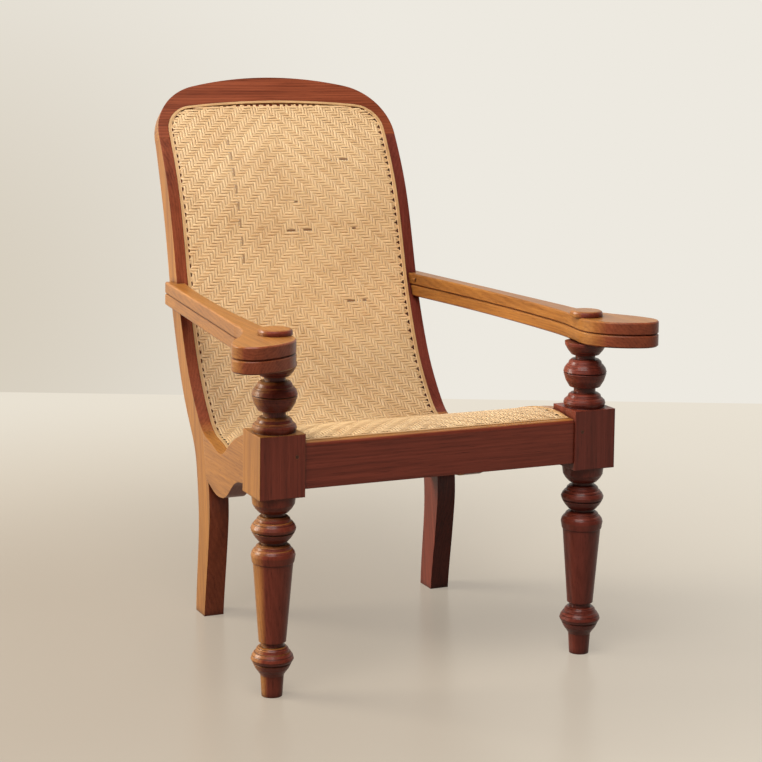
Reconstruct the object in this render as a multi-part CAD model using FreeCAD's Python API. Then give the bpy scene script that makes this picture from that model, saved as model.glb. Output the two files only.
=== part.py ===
"""A planter's chair: turned front posts, curved back stiles with sabre rear legs, scalloped side rails,
a bowed crest, one woven cane sling, and arms that each carry a swing-out leg rest under them.

Millimetres. +Z is up, the chair faces -Y, and the origin is on the floor under the middle of the chair.
Outlines in the side view are written as (behind, height), where behind is measured from the post axes.
"""
import FreeCAD
import Part
import math
import os

from FreeCAD import Vector

# Driving dimensions
post_spacing = 600.0
post_ahead = 372.23
stile_outside = 519.0
stile_thickness = 38.5
face_width = 22.5
seat_height = 440.0
seat_front = -21.0
seat_depth = 500.0
seat_drop = 83.0
back_run = 272.0
back_rise = 543.0
leg_sweep = 43.0
arm_rise = 180.0
arm_thickness = 23.0
sling_thickness = 3.0
overrun = 6.0
seat_gap = 0.05

# Block and turned members of a front post
block_width = 81.4
block_over_seat = 15.5
block_height = 107.5
bead_radius = 38.8
spigot_radius = 13.0
cup_gap = 0.4

# Rails
front_rail_height = 79.0
front_rail_thickness = 41.0
front_rail_recess = 4.0
front_rail_round = 6.5
front_tenon_length = 42.0
front_tenon_thickness = 15.0
front_tenon_setback = 9.0
front_tenon_shoulder = 12.0
peg_radius = 3.0
peg_depth = 34.0
peg_inset = 15.0
peg_drop = 38.0
peg_gap = 0.05
rear_rail_height = 62.0
rear_rail_thickness = 26.0
rear_rail_under_seat = 57.0
rear_rail_ahead = 9.0
rear_tenon_length = 24.0
rear_tenon_thickness = 12.0
rear_tenon_shoulder = 10.0
sling_clearance = 3.3
rail_thickness = 38.0
rail_drop = 100.0
rail_end_lift = 3.0
side_tenon_length = 28.0
side_tenon_thickness = 10.0
side_tenon_height = 62.0
side_tenon_lift = 22.0
side_tenon_edge = 3.0
stile_tenon_height = 30.0
stile_tenon_drop = 18.0
stile_tenon_depth = 20.0
stile_tenon_setback = 3.0

# Crest
crest_lean = 33.5
crest_rise = 140.0
crest_thickness = 29.0
crest_corner = 120.0
crest_crown = 700.0
sling_corner = 60.0
sling_crown = 1600.0
sling_rise = 83.5
crest_tenon_length = 40.0
crest_tenon_width = 20.0
crest_tenon_thickness = 11.0

# Arms, leg rests and the buttons over their pivots
arm_root_width = 36.0
arm_root_length = 91.0
arm_root_flare = 13.1
lap_length = 36.0
lap_gap = 0.6
arm_edge = 2.2
rest_gap = 0.4
pivot_gap = 0.08
stile_gap = 3.0
knob_radius = 29.5
knob_socket_depth = 5.0
knob_cap = 5.5
dowel_radius = 5.0
dowel_length = 50.0
dowel_gap = 0.05

# Reed that covers the edge of the sling
reed_width = 5.0
reed_proud = 1.2

# The sling line, from the front rail back to the stile: shares of seat_depth, and of seat_drop downwards
seat_line_shares = ((0.0, 0.0), (0.05, -0.045), (0.12, -0.070), (0.34, 0.157), (0.53, 0.525),
                    (0.66, 0.874), (0.725, 1.138), (0.775, 1.253), (0.87, 1.169))
# The sling line up the back, as shares of back_run and back_rise
back_line_shares = ((0.0, 0.0), (0.10, 0.042), (0.20, 0.100), (0.306, 0.174), (0.401, 0.263),
                    (0.551, 0.447), (0.662, 0.632), (0.792, 0.816), (1.0, 1.0))
# The back edge of the stile under the crest, as shares of back_run and back_rise
back_rear_shares = ((0.960, 0.816), (0.827, 0.632), (0.724, 0.447),
                    (0.583, 0.263), (0.415, 0.094), (0.298, 0.012))
# The front and back edges of the leg, as shares of leg_sweep behind the seat's end and of its height
leg_front_shares = ((-0.55, 0.84), (-0.895, 0.70), (-1.0, 0.56), (-0.89, 0.42), (-0.73, 0.28),
                    (-0.547, 0.14), (-0.41, 0.0))
leg_rear_shares = ((1.0, 0.87), (0.66, 0.72), (0.46, 0.56), (0.44, 0.42), (0.535, 0.28),
                   (0.65, 0.14), (0.71, 0.0))
# The scalloped lower edge of the side rail, as shares of seat_depth and rail_drop under the seat's end
scallop_shares = ((0.95, -0.88), (0.885, -0.965), (0.82, -1.03), (0.765, -1.02), (0.71, -0.95),
                  (0.67, -0.82), (0.635, -0.68), (0.60, -0.57), (0.56, -0.50), (0.51, -0.46),
                  (0.42, -0.37), (0.32, -0.26), (0.22, -0.15))
# How many bands make up one rounded member of the turning
round_bands = {"bead": 2, "ring": 2}
# Members of the turning: kind, top of the member, its radius there and its fullest radius half way up.
# Heights are shares of the turned length and radii are shares of bead_radius. Every bead is two unequal
# halves with a scored line at its fullest part, under a narrow ring.
lower_turning_shares = (
    ("line", 0.0, 0.46, 0.0), ("line", 0.105, 0.52, 0.0), ("line", 0.119, 0.60, 0.0),
    ("bead", 0.163, 0.845, 0.75), ("line", 0.167, 0.81, 0.0), ("line", 0.172, 0.885, 0.0),
    ("line", 0.186, 0.95, 0.0), ("bead", 0.219, 0.81, 0.905), ("line", 0.2225, 0.745, 0.0),
    ("ring", 0.246, 0.625, 0.72), ("line", 0.250, 0.50, 0.0), ("line", 0.268, 0.50, 0.0),
    ("line", 0.272, 0.605, 0.0), ("line", 0.663, 0.885, 0.0), ("line", 0.668, 0.93, 0.0),
    ("line", 0.702, 0.98, 0.0), ("bead", 0.731, 0.86, 0.95), ("line", 0.7345, 0.80, 0.0),
    ("ring", 0.7555, 0.65, 0.765), ("line", 0.758, 0.53, 0.0), ("line", 0.769, 0.53, 0.0),
    ("line", 0.772, 0.66, 0.0), ("bead", 0.814, 0.935, 0.82), ("line", 0.818, 0.895, 0.0),
    ("line", 0.8225, 0.97, 0.0), ("line", 0.8365, 1.0, 0.0), ("bead", 0.866, 0.835, 0.94),
    ("line", 0.8695, 0.77, 0.0), ("ring", 0.894, 0.62, 0.735), ("line", 0.8975, 0.485, 0.0),
    ("line", 0.911, 0.485, 0.0), ("line", 0.915, 0.66, 0.0), ("bead", 0.955, 0.93, 0.825),
    ("line", 1.0, 0.985, 0.0))
upper_turning_shares = (
    ("line", 0.0, 0.925, 0.0), ("line", 0.062, 0.98, 0.0), ("bead", 0.134, 0.845, 0.955),
    ("line", 0.144, 0.79, 0.0), ("ring", 0.212, 0.64, 0.765), ("line", 0.222, 0.51, 0.0),
    ("line", 0.302, 0.51, 0.0), ("line", 0.310, 0.72, 0.0), ("bead", 0.515, 1.0, 0.905),
    ("line", 0.526, 0.955, 0.0), ("line", 0.540, 1.01, 0.0), ("bead", 0.648, 0.85, 0.965),
    ("line", 0.657, 0.795, 0.0), ("ring", 0.732, 0.64, 0.765), ("line", 0.741, 0.465, 0.0),
    ("line", 0.796, 0.465, 0.0), ("line", 0.806, 0.655, 0.0), ("bead", 0.95, 0.955, 0.83),
    ("line", 1.0, 0.97, 0.0))
# Half a button: heights as shares of its height, and radii as shares of knob_radius
knob_shares = ((0.0, 1.0), (0.55, 1.0), (0.86, 0.955), (1.0, 0.86))
# Plan of an arm from its inner edge beside the post round its paddle to its outer edge: across from the
# post axis and ahead of it, as shares of paddle_width. Each stretch is an arc that carries on smoothly.
paddle_width = 128.0
paddle_shares = ((-0.093, -0.856), (-0.174, 0.059), (0.052, 0.651), (0.465, 0.838), (0.785, 0.488),
                 (0.584, 0.099), (0.223, -0.949))

seat_end_height = seat_height - seat_drop
block_top = seat_height + block_over_seat
block_bottom = block_top - block_height
rear_rail_bottom = seat_end_height - rear_rail_under_seat - rear_rail_height
arm_top_height = seat_height + arm_rise
arm_bottom_height = arm_top_height - arm_thickness
rest_top_height = arm_bottom_height - rest_gap
rest_bottom_height = rest_top_height - arm_thickness + rest_gap
cup_top_height = rest_bottom_height - cup_gap
spigot_top_height = arm_top_height + knob_socket_depth
half_block = block_width / 2
half_spacing = post_spacing / 2
half_outside = stile_outside / 2
half_inside = half_outside - stile_thickness
half_sling = half_outside - face_width
half_block_space = half_spacing - half_block
rail_splay = half_block_space - sling_clearance - half_sling
front_rail_front = front_rail_recess - half_block
front_rail_back = front_rail_front + front_rail_thickness
seat_end = seat_front + seat_depth
rear_rail_behind = seat_end - rear_rail_ahead


def place(across, behind, height):
    """A point from its distance across, its distance behind the post axes and its height."""
    return Vector(across, behind - post_ahead, height)


def spline(points, first=None, last=None):
    curve = Part.BSplineCurve()
    if first is None:
        curve.interpolate(points)
    else:
        curve.interpolate(Points=points, InitialTangent=Vector(first).normalize(),
                          FinalTangent=Vector(last).normalize(), Scale=False)
    return curve


def chain(points):
    return [Part.makeLine(a, b) for a, b in zip(points, points[1:]) if (b - a).Length > seat_gap]


def slab(edges, direction):
    """The solid swept by a flat closed outline."""
    return Part.Face(Part.Wire(Part.__sortEdges__(edges))).extrude(direction)


def box(low, high):
    size = high - low
    return Part.makeBox(size.x, size.y, size.z, low)


def mirrored(shape):
    return shape.mirror(Vector(0, 0, 0), Vector(1, 0, 0))


def sling_points(across):
    """Points of the sling line, over the seat and up the back, in the plane at this distance across."""
    points = [place(across, seat_front + seat_depth * run, seat_height - seat_drop * fall)
              for run, fall in seat_line_shares]
    points += [place(across, seat_end + back_run * run, seat_end_height + back_rise * rise)
               for run, rise in back_line_shares]
    return points


def lean_direction():
    lean = math.radians(crest_lean)
    return Vector(0, math.sin(lean), math.cos(lean))


def face_normal():
    lean = math.radians(crest_lean)
    return Vector(0, -math.cos(lean), math.sin(lean))


def sling_curve(across):
    """The line that the front of the wood and of the cane follows, from the front rail to the crest."""
    points = sling_points(across)
    return spline(points, points[1] - points[0], lean_direction())


def crossing(curve, start, end):
    """The point where the curve meets the straight line from start to end."""
    spot = curve.intersectCC(Part.LineSegment(start, end))[0]
    return Vector(spot.X, spot.Y, spot.Z)


def sling_above(curve, across, behind):
    """The point of the sling line straight above or below this distance behind the posts."""
    return crossing(curve, place(across, behind, 0), place(across, behind, seat_height + back_rise))


def back_edge(height):
    """The point of the back's front edge at this height."""
    return crossing(sling_curve(0), place(0, seat_end, height), place(0, seat_end + back_run, height))


def arm_reach():
    """How far behind the posts the arm meets the back, half way up its thickness."""
    return back_edge(arm_top_height - arm_thickness / 2).y + post_ahead


def crest_joint(across):
    return place(across, seat_end + back_run, seat_end_height + back_rise)


def sling_band(inset, above, below):
    """The space of the sling: a band along the sling line, with its outline moved in by inset."""
    reach = half_spacing
    curve = sling_curve(-reach)
    count = 2 * len(sling_points(0))
    top, bottom = [], []
    for step in range(count + 1):
        at = curve.FirstParameter + (curve.LastParameter - curve.FirstParameter) * step / count
        point, along = curve.value(at), curve.tangent(at)[0]
        normal = Vector(0, -along.z, along.y)
        top.append(point + normal * above)
        bottom.append(point - normal * below)
    lean = lean_direction()
    beyond = lean * (crest_rise + overrun)
    top_edge, bottom_edge = spline(top).toShape(), spline(bottom).toShape()
    top_end, bottom_end = top[-1] + beyond, bottom[-1] + beyond
    edges = [top_edge, Part.makeLine(top[-1], top_end), Part.makeLine(top_end, bottom_end),
             Part.makeLine(bottom_end, bottom[-1]), bottom_edge, Part.makeLine(bottom[0], top[0])]
    band = slab(edges, Vector(2 * reach, 0, 0))
    return band.common(plan_prism(inset)).common(crest_prism(half_sling - inset, sling_rise - inset,
                                                             sling_corner - inset, sling_crown, True))


def front_half_sling():
    return half_sling + rail_splay


def plan_prism(inset):
    """The sling's outline seen from above: parallel up the back and widening over the seat to the front."""
    back, front = half_sling - inset, front_half_sling() - inset
    far = seat_end + back_run + crest_rise
    near = seat_front + inset
    corners = [(-front, near), (front, near), (back, seat_end), (back, far),
               (-back, far), (-back, seat_end), (-front, near)]
    points = [place(across, behind, 0) for across, behind in corners]
    return slab(chain(points), Vector(0, 0, seat_end_height + back_rise + crest_rise))


def crest_point(across, rise, forward=0.0):
    """A point on the crest's front face, rise up its slope from the joint, or moved out of that face."""
    joint = crest_joint(across)
    return joint + lean_direction() * rise + face_normal() * forward


def crest_prism(half_width, rise, corner, crown, down_to_floor):
    """A prism square to the crest's face, with round corners and a bowed top."""
    centre_rise = rise - crown
    arc_across = half_width - corner
    arc_rise = centre_rise + math.sqrt((crown - corner) ** 2 - arc_across ** 2)
    turn = math.atan2(arc_across, arc_rise - centre_rise)
    meet = (crown * math.sin(turn), centre_rise + crown * math.cos(turn))
    middle_turn = (math.pi / 2 - turn) / 2
    middle = (arc_across + corner * math.cos(middle_turn), arc_rise + corner * math.sin(middle_turn))
    thick = seat_end_height + back_rise + crest_rise
    foot = -2 * thick if down_to_floor else 0.0
    below = half_spacing if down_to_floor else half_width
    forward = thick if down_to_floor else overrun

    def spot(across, up):
        return crest_point(across, up, forward)

    right_meet, left_meet = spot(*meet), spot(-meet[0], meet[1])
    right = Part.Arc(spot(half_width, arc_rise), spot(*middle), right_meet).toShape()
    left = Part.Arc(spot(-half_width, arc_rise), spot(-middle[0], middle[1]), left_meet).toShape()
    top = Part.Arc(right_meet, spot(0, rise), left_meet).toShape()
    sides = chain([spot(half_width, arc_rise), spot(half_width, -overrun), spot(below, -overrun),
                   spot(below, foot), spot(-below, foot), spot(-below, -overrun),
                   spot(-half_width, -overrun), spot(-half_width, arc_rise)])
    return slab([right, top, left] + sides, face_normal() * (-2 * forward - crest_thickness))


def turned_points(shares, bottom, length):
    """Points of half a turning, from its lower end upwards. Its rounds are bands, which keeps it light."""
    points = []
    for kind, top_share, end_share, full_share in shares:
        point = Vector(bead_radius * end_share, 0, bottom + length * top_share)
        if kind in round_bands:
            middle = Vector(bead_radius * full_share, 0, (points[-1].z + point.z) / 2)
            arc = Part.Arc(points[-1], middle, point).toShape()
            points += arc.discretize(round_bands[kind] + 1)[1:-1]
        points.append(point)
    return points


def revolved(points):
    """The solid turned about the Z axis from the points of its half outline, from the foot upwards."""
    foot, head = Vector(0, 0, points[0].z), Vector(0, 0, points[-1].z)
    face = Part.Face(Part.Wire(chain([foot] + points + [head, foot])))
    return face.revolve(Vector(0, 0, 0), Vector(0, 0, 1), 360)


def post_at(shape):
    moved = shape.copy()
    moved.translate(place(half_spacing, 0, 0))
    return moved


def front_post():
    """One piece of wood: foot, taper and beads, the square block, the upper beads and the pivot spigot."""
    lower = revolved(turned_points(lower_turning_shares, 0, block_bottom))
    upper = revolved(turned_points(upper_turning_shares, block_top, cup_top_height - block_top))
    block = box(Vector(-half_block, -half_block, block_bottom), Vector(half_block, half_block, block_top))
    spigot_length = spigot_top_height - cup_top_height
    spigot = Part.makeCylinder(spigot_radius, spigot_length, Vector(0, 0, cup_top_height))
    post = post_at(block.fuse([lower, upper, spigot]).removeSplitter())
    return post.cut([front_tenon(seat_gap), side_tenon(seat_gap)] + front_rail_pegs(peg_gap)[1:])


def front_tenon(gap):
    """The right tenon of the front rail, or its mortise with a gap."""
    start = half_block_space
    face = front_rail_front + front_tenon_setback
    top = seat_height - front_tenon_shoulder
    bottom = seat_height - front_rail_height + front_tenon_shoulder
    return box(place(start - overrun, face - gap, bottom - gap),
               place(start + front_tenon_length + gap, face + front_tenon_thickness + gap, top + gap))


def front_rail_pegs(gap):
    """The left and the right peg that pin the front rail's tenons."""
    pegs = []
    for side in (-1, 1):
        start = place(side * (half_block_space + peg_inset), -half_block, block_top - peg_drop)
        pegs.append(Part.makeCylinder(peg_radius + gap, peg_depth + gap, start, Vector(0, 1, 0)))
    return pegs


def front_rail():
    """The straight rail between the posts, with its top edge worked to the sling line."""
    half = half_block_space
    body = box(place(-half, front_rail_front, seat_height - front_rail_height),
               place(half, front_rail_back, seat_height))
    rim = [edge for edge in body.Edges if edge.BoundBox.ZMin > seat_height - seat_gap
           and edge.BoundBox.YMax < seat_front - post_ahead]
    crown = slab(front_rail_crown(-half), Vector(2 * half, 0, 0))
    rail = body.makeFillet(front_rail_round, rim).fuse(crown).removeSplitter()
    tenon = front_tenon(0)
    rail = rail.fuse([tenon, mirrored(tenon)]).removeSplitter()
    rail = rail.cut(front_rail_pegs(peg_gap))
    return rail.cut(sling_band(0, overrun, sling_thickness))


def front_rail_crown(across):
    """The part of the rail's section that rises over seat_height, up to the sling line."""
    curve = sling_curve(across)
    first = curve.value(curve.FirstParameter)
    last = sling_above(curve, across, front_rail_back)
    crown = curve.toShape(curve.FirstParameter, curve.parameter(last))
    return [crown] + chain([last, Vector(last.x, last.y, first.z), first])


def stile_blank():
    """The plank of one back stile and its rear leg, before its joints are cut."""
    inside = half_inside
    curve = sling_curve(inside)
    joint = curve.parameter(place(inside, seat_end, seat_end_height))
    front = curve.toShape(joint, curve.LastParameter)
    corner, top = curve.value(joint), curve.value(curve.LastParameter)
    leg = [corner] + [place(inside, seat_end + leg_sweep * run, seat_end_height * rise)
                      for run, rise in leg_front_shares]
    rear = [place(inside, seat_end + leg_sweep * run, seat_end_height * rise)
            for run, rise in reversed(leg_rear_shares)]
    rear += [place(inside, seat_end + back_run * run, seat_end_height + back_rise * rise)
             for run, rise in reversed(back_rear_shares)]
    rear.append(crest_point(inside, 0, -crest_thickness))
    edges = [front, spline(leg).toShape(), Part.makeLine(leg[-1], rear[0]), spline(rear).toShape(),
             Part.makeLine(rear[-1], top)]
    return slab(edges, Vector(stile_thickness, 0, 0))


def crest_tenon(gap):
    """The tenon on top of the right stile, or its mortise in the crest with a gap."""
    across = (half_inside + half_outside) / 2
    half = crest_tenon_width / 2 + gap
    back = (crest_thickness + crest_tenon_thickness) / 2 + gap
    front = (crest_thickness - crest_tenon_thickness) / 2 - gap
    corners = [crest_point(across - half, -overrun, -front), crest_point(across - half, -overrun, -back),
               crest_point(across - half, crest_tenon_length + gap, -back),
               crest_point(across - half, crest_tenon_length + gap, -front)]
    return slab(chain(corners + corners[:1]), Vector(2 * half, 0, 0))


def rear_tenon(gap):
    low = rear_rail_bottom + rear_tenon_shoulder - gap
    high = rear_rail_bottom + rear_rail_height - rear_tenon_shoulder + gap
    half = rear_tenon_thickness / 2 + gap
    return box(place(half_inside - overrun, rear_rail_behind - half, low),
               place(half_inside + rear_tenon_length + gap, rear_rail_behind + half, high))


def rear_rail():
    """The straight rail between the rear legs, under the lowest part of the sling."""
    half = rear_rail_thickness / 2
    body = box(place(-half_inside, rear_rail_behind - half, rear_rail_bottom),
               place(half_inside, rear_rail_behind + half, rear_rail_bottom + rear_rail_height))
    tenon = rear_tenon(0)
    return body.fuse([tenon, mirrored(tenon)]).removeSplitter()


def arm_dowel(gap):
    """The dowel that joins the right arm's root to its stile."""
    across = half_outside - face_width / 2
    height = arm_top_height - arm_thickness / 2
    return Part.makeCylinder(dowel_radius + gap, dowel_length + 2 * gap,
                             place(across, arm_reach() - dowel_length / 2 - gap, height), Vector(0, 1, 0))


def back_stile():
    stile = stile_blank().fuse(crest_tenon(0)).removeSplitter()
    stile = stile.cut([rear_tenon(seat_gap), arm_dowel(dowel_gap), stile_tenon(seat_gap)])
    return stile.cut(sling_band(0, overrun, sling_thickness))


def side_rail_slope():
    return rail_splay / seat_depth


def rail_across(behind, offset):
    """Distance across of the side rail at this distance behind the posts, offset from its outer face."""
    return half_outside + (seat_end - behind) * side_rail_slope() - offset


def side_rail_blank():
    """The scalloped plank: its top follows the sling line and its lower edge has a lobe and an arch."""
    low = half_inside - overrun
    curve = sling_curve(low)
    last = place(low, seat_end, seat_end_height)
    first = sling_above(curve, low, front_rail_back)
    top = curve.toShape(curve.parameter(first), curve.parameter(last))
    under_block = place(low, half_block, block_bottom + rail_end_lift)
    under_front = Vector(low, first.y, under_block.z)
    scallop = [place(low, seat_front + seat_depth * run, seat_end_height + rail_drop * rise)
               for run, rise in scallop_shares]
    edges = [top, spline(scallop + [under_block]).toShape()]
    edges += chain([last, scallop[0]]) + chain([under_block, under_front, first])
    return slab(edges, Vector(half_spacing - low, 0, 0)).common(rail_prism())


def rail_prism():
    """The splayed plank's thickness, seen from above."""
    near, far = -half_block, seat_end + leg_sweep
    corners = [place(rail_across(behind, offset), behind, 0)
               for behind, offset in ((near, 0), (far, 0), (far, rail_thickness), (near, rail_thickness))]
    return slab(chain(corners + corners[:1]), Vector(0, 0, block_top + overrun))


def side_tenon(gap):
    """The tenon of the right side rail into the back of the block, or its mortise with a gap."""
    low = half_block_space + side_tenon_edge
    bottom = block_bottom + side_tenon_lift
    top = bottom + side_tenon_height
    return box(place(low - gap, half_block - side_tenon_length - gap, bottom - gap),
               place(low + side_tenon_thickness + gap, half_block + overrun, top + gap))


def stile_tenon(gap):
    """The tenon of the right side rail into the stile, or its mortise with a gap."""
    middle = (half_inside + half_outside) / 2
    half = side_tenon_thickness / 2 + gap
    high = seat_end_height - stile_tenon_drop
    end = seat_end - stile_tenon_setback
    return box(place(middle - half, end - stile_tenon_depth - leg_sweep, high - stile_tenon_height - gap),
               place(middle + half, end + gap, high + gap))


def side_rail():
    block = box(place(half_block_space, -half_block, 0),
                place(half_spacing + half_block, half_block, block_top + overrun))
    rail = side_rail_blank().cut([block, stile_blank()])
    rail = rail.fuse([side_tenon(0), stile_tenon(0)]).removeSplitter()
    return rail.cut(sling_band(0, overrun, sling_thickness))


def crest_rail():
    """The bowed board across the top of the back, with round corners and an arched lower edge."""
    board = crest_prism(half_outside, crest_rise, crest_corner, crest_crown, False)
    slice_low = crest_point(-half_spacing, 0, 0)
    depth = face_normal() * -crest_thickness
    up = lean_direction() * (crest_rise + overrun)
    corners = [slice_low, slice_low + depth, slice_low + depth + up, slice_low + up]
    board = board.common(slab(chain(corners + corners[:1]), Vector(post_spacing, 0, 0)))
    ledge = half_sling - half_inside
    opening = crest_prism(half_inside, sling_rise - ledge, sling_corner - ledge, sling_crown, False)
    tenon = crest_tenon(seat_gap)
    board = board.cut([opening, tenon, mirrored(tenon)])
    return board.cut(sling_band(0, overrun, sling_thickness))


def cane_panel():
    """The woven sling, one sheet from the crest to the front rail."""
    return sling_band(reed_width + seat_gap, 0, sling_thickness - seat_gap)


def edge_reeds():
    """The reed round the sling: one length round the back and sides, and one along the front rail."""
    ring = sling_band(seat_gap, reed_proud, sling_thickness - seat_gap).cut(
        sling_band(reed_width, reed_proud + overrun, sling_thickness + overrun))
    front_zone = box(place(-half_spacing, seat_front - overrun, 0),
                     place(half_spacing, seat_front + reed_width, block_top + overrun))
    return ring.cut(front_zone), ring.common(front_zone)


def onward_arc(start, along, end):
    """An arc that leaves start in the direction along, and its direction at end."""
    chord = (end - start).normalize()
    across = (along - chord * along.dot(chord)).normalize()
    bulge = (end - start).Length / 2 * math.tan(along.getAngle(chord) / 2)
    arc = Part.Arc(start, (start + end) * 0.5 + across * bulge, end)
    return arc, chord * (2 * along.dot(chord)) - along


def arm_plan():
    """Plan of the right arm from its straight root at the stile round its paddle, as edges at height 0."""
    end = arm_reach() + lap_length
    root_inner = place(half_sling, end, 0)
    root_outer = place(half_sling + arm_root_width, end, 0)
    plan = [place(half_sling + arm_root_flare, end - arm_root_length, 0)]
    plan += [place(half_spacing + paddle_width * across, -paddle_width * ahead, 0)
             for across, ahead in paddle_shares]
    along = (plan[0] - root_inner).normalize()
    edges = chain([plan[-1], root_outer, root_inner, plan[0]])
    for start, end in zip(plan, plan[1:]):
        arc, along = onward_arc(start, along, end)
        edges.append(arc.toShape())
    return edges


def behind_back(low, high, front_gap, side_gap):
    """The space behind the back's front edge, flat between two heights, out to the stile's outer face.

    It is grown by the two gaps, and it runs past both heights.
    """
    foot = back_edge(low)
    head = back_edge(high)
    past = (head - foot).normalize() * overrun
    beyond = Vector(0, back_run, 0)
    corners = [foot - past, head + past, head + past + beyond, foot - past + beyond, foot - past]
    space = slab(chain(corners), Vector(half_outside + side_gap, 0, 0))
    space.translate(Vector(0, -front_gap, 0))
    return space


def arm_board(low, high, bore, front_gap, side_gap):
    """A board of the arm's plan, notched round the stile, with eased edges and a hole for the spigot."""
    board = slab(arm_plan(), Vector(0, 0, high - low))
    board.translate(Vector(0, 0, low))
    board = board.cut(behind_back(low, high, front_gap, side_gap))
    flat = [edge for edge in board.Edges if edge.BoundBox.ZLength < seat_gap]
    rim = [edge for edge in flat
           if edge.Length > arm_root_width + overrun or edge.BoundBox.YMax < -post_ahead]
    board = board.makeChamfer(arm_edge, rim)
    hole = Part.makeCylinder(bore, high - low + 2 * overrun, place(half_spacing, 0, low - overrun))
    return board.cut(hole)


def arm():
    """The fixed arm: it sits on the leg rest's pivot, laps the stile's side and butts its face."""
    board = arm_board(arm_bottom_height, arm_top_height, spigot_radius + seat_gap, 0, 0)
    return board.cut(arm_dowel(dowel_gap))


def leg_rest():
    """The swinging leg rest, the same board as the arm, free to turn on the post's spigot."""
    return arm_board(rest_bottom_height, rest_top_height, spigot_radius + pivot_gap, stile_gap, lap_gap)


def pivot_knob():
    """The low button over the spigot, turned with a rounded top edge and a blind socket."""
    base, height = arm_top_height, knob_socket_depth + knob_cap
    points = [Vector(knob_radius * out, 0, base + height * up) for up, out in knob_shares]
    knob = post_at(revolved(points))
    socket = Part.makeCylinder(spigot_radius + seat_gap, knob_socket_depth + overrun + seat_gap,
                               place(half_spacing, 0, base - overrun))
    return knob.cut(socket)


def build():
    back_reed, front_reed = edge_reeds()
    pieces = {"crest_rail": crest_rail(), "front_rail": front_rail(), "rear_rail": rear_rail(),
              "cane_sling": cane_panel(), "back_reed": back_reed, "front_reed": front_reed}
    pairs = {"front_post": front_post, "back_stile": back_stile, "side_rail": side_rail, "arm": arm,
             "leg_rest": leg_rest, "pivot_knob": pivot_knob}
    for name, make in pairs.items():
        right = make()
        pieces[name + "_right"] = right
        pieces[name + "_left"] = mirrored(right)
    dowel = arm_dowel(0)
    pieces["arm_dowels"] = Part.makeCompound([dowel, mirrored(dowel)])
    pieces["front_rail_pegs"] = Part.makeCompound(front_rail_pegs(0))
    return pieces


def main():
    os.makedirs("parts", exist_ok=True)
    for name, shape in build().items():
        shape.exportStep("parts/" + name + ".step")
        print(name, len(shape.Solids), "solid", round(shape.Volume), shape.isValid())


main()
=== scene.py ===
"""Looks of the planter's chair: oiled hardwood, a woven cane sling with its edge reed, and a pale studio.

Metres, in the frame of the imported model: +Z is up, the chair faces -Y and +X is to the right.
"""
import math
from types import SimpleNamespace

import bpy
import numpy as np
from mathutils import Matrix, Vector
from mathutils.bvhtree import BVHTree


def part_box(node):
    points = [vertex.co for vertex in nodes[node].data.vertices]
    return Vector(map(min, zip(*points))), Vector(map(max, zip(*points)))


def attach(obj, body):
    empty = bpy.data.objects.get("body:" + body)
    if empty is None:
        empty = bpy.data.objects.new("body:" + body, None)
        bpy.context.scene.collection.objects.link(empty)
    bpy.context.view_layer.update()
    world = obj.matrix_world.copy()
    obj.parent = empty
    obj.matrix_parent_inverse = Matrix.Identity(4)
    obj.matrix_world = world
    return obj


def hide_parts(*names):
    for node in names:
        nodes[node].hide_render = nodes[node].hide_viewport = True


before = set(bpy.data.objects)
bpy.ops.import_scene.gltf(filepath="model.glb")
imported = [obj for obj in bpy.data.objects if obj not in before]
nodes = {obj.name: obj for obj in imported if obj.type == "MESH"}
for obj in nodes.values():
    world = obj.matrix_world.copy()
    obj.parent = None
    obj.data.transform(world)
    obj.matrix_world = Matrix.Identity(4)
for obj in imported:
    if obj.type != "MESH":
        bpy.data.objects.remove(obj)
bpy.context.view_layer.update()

# The photograph's camera: its sensor, lens and picture, the pixel that its axis meets, its place and turns
SENSOR = 36.0
LENS = 95.82
IMAGE = 762
AXIS_PIXEL = (419.35, 181.16)
CAMERA_PLACE = (-1.5259, -3.5129, 1.1783)
YAW, PITCH, ROLL = math.radians(25.366), math.radians(-5.04), math.radians(0.873)
FARTHEST_SEEN = 60.0

BLACK = (0.0, 0.0, 0.0, 1.0)
WHITE = (1.0, 1.0, 1.0, 1.0)

# The wood's colours
RUSSET = (0.36, 0.087, 0.034, 1.0)
CHESTNUT = (0.29, 0.058, 0.031, 1.0)
# Painted shade: the darker colour of the right post and stile
OXBLOOD_SHADE = (0.22, 0.043, 0.026, 1.0)
# Painted light: the colour of faces turned to the lamps on the left and above
GOLDEN_PAINTED_LIGHT = (0.50, 0.210, 0.044, 1.0)
DARK_PEG = (0.12, 0.04, 0.02, 1.0)
# What the wood is multiplied by in its chisel rings and its pores, in its hollows as painted shade, and over
# its tones
CHISEL_DARK = (0.42, 0.36, 0.34, 1.0)
PORE_DARK = (0.55, 0.48, 0.44, 1.0)
HOLLOW_SHADE = (0.22, 0.15, 0.14, 1.0)
TONES = ((0.10, (0.36, 0.28, 0.24, 1.0)), (0.36, (0.62, 0.55, 0.50, 1.0)), (0.62, (0.80, 0.76, 0.74, 1.0)),
         (0.90, WHITE))

# The grain runs along Z. Changes a metre of each of its patterns on X, Y and Z
BENDS = (9.0, 9.0, 1.6)
BANDS = (22.0, 22.0, 1.5)
STREAKS = (95.0, 95.0, 3.2)
FIBRES = (430.0, 430.0, 7.0)
PORES = (900.0, 900.0, 24.0)
RUB_AND_HIGHLIGHT_NOISE = (40.0, 40.0, 12.0)
CHISEL_RINGS = (0.0, 0.0, 400.0)
# How the growth rings are drawn out along the grain, and how strongly its bends push them
RING_DRAW = (1.0, 1.0, 0.045)
RING_PUSH = 7.0
# What each pattern adds to the tone, and the sum of them all that is moved to the middle tone
RING_SHARE, BAND_SHARE, STREAK_SHARE, FIBRE_SHARE = 0.16, 0.95, 0.85, 0.55
MIDDLE_SUM = 1.255
MIDDLE_TONE = 0.5
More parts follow.
